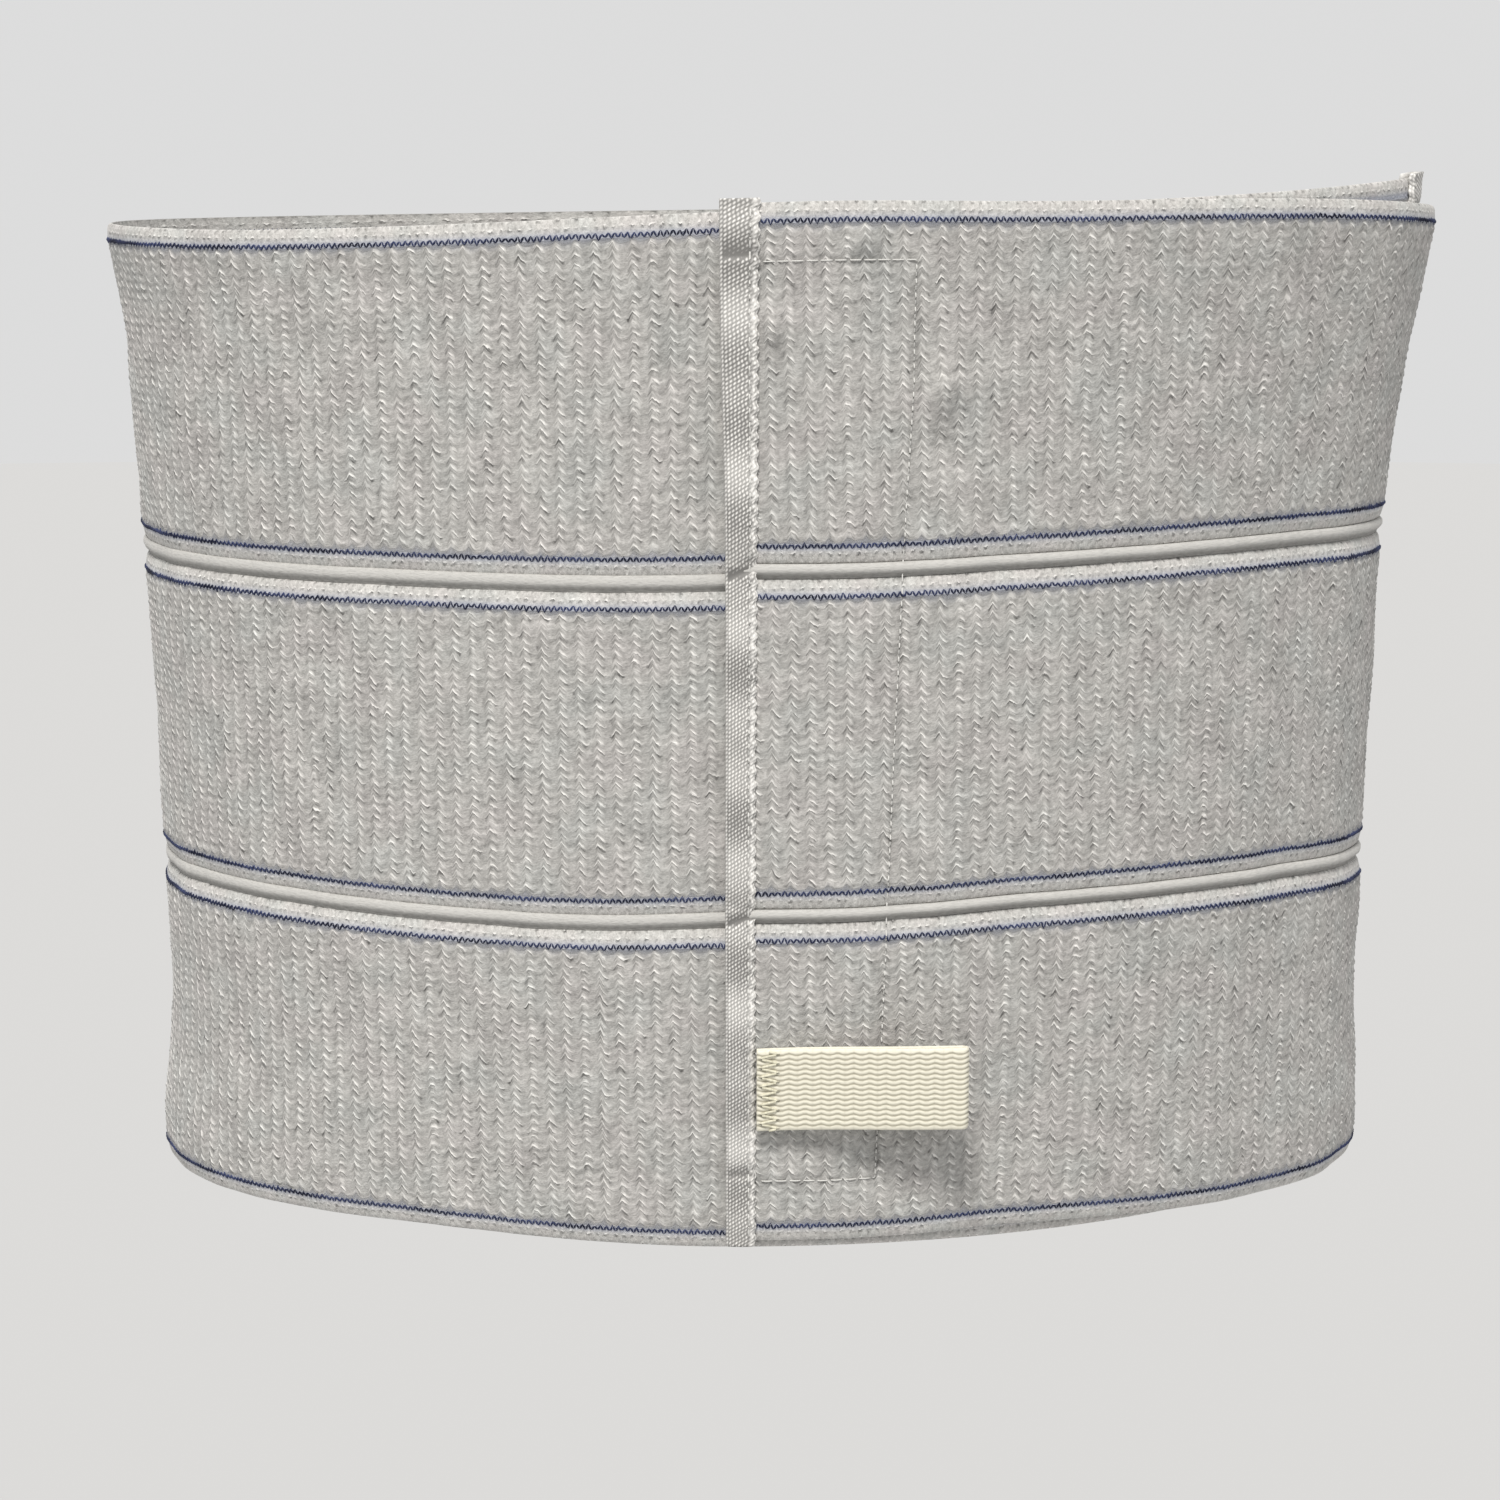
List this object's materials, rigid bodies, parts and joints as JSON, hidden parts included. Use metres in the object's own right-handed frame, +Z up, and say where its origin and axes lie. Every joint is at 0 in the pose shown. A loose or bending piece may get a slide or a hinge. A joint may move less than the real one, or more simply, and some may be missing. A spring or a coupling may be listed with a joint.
{
  "type": "abdominal binder",
  "caption": "Elastic abdominal binder as worn: stacked knitted panels wrap the torso and overlap at the front, with bound ends and a webbing pull tab.",
  "frame": {"origin": "middle of the hollow that the wearer's torso fills, at half the binder's height", "axes": "+Z up the torso; the wearer faces -Y; +X along the width, towards the side where the flap lies over the underlap"},
  "size_m": [0.3182, 0.2243, 0.238],
  "materials": {
    "knit": "matte grey-white knitted elastic",
    "ridge_yarn": "matte white yarn",
    "satin_tape": "white satin binding tape",
    "hook_fabric": "white hook strip",
    "cream_webbing": "cream woven webbing",
    "navy_thread": "navy zigzag thread",
    "white_thread": "white sewing thread"
  },
  "bodies": {
    "root": {"upper_panel": "knit", "middle_panel": "knit", "lower_panel": "knit", "upper_seam_ridge": "ridge_yarn", "lower_seam_ridge": "ridge_yarn", "flap_binding": "satin_tape", "underlap_binding": "satin_tape", "hook_strip": "hook_fabric", "pull_tab": "cream_webbing"}
  },
  "joints": []
}
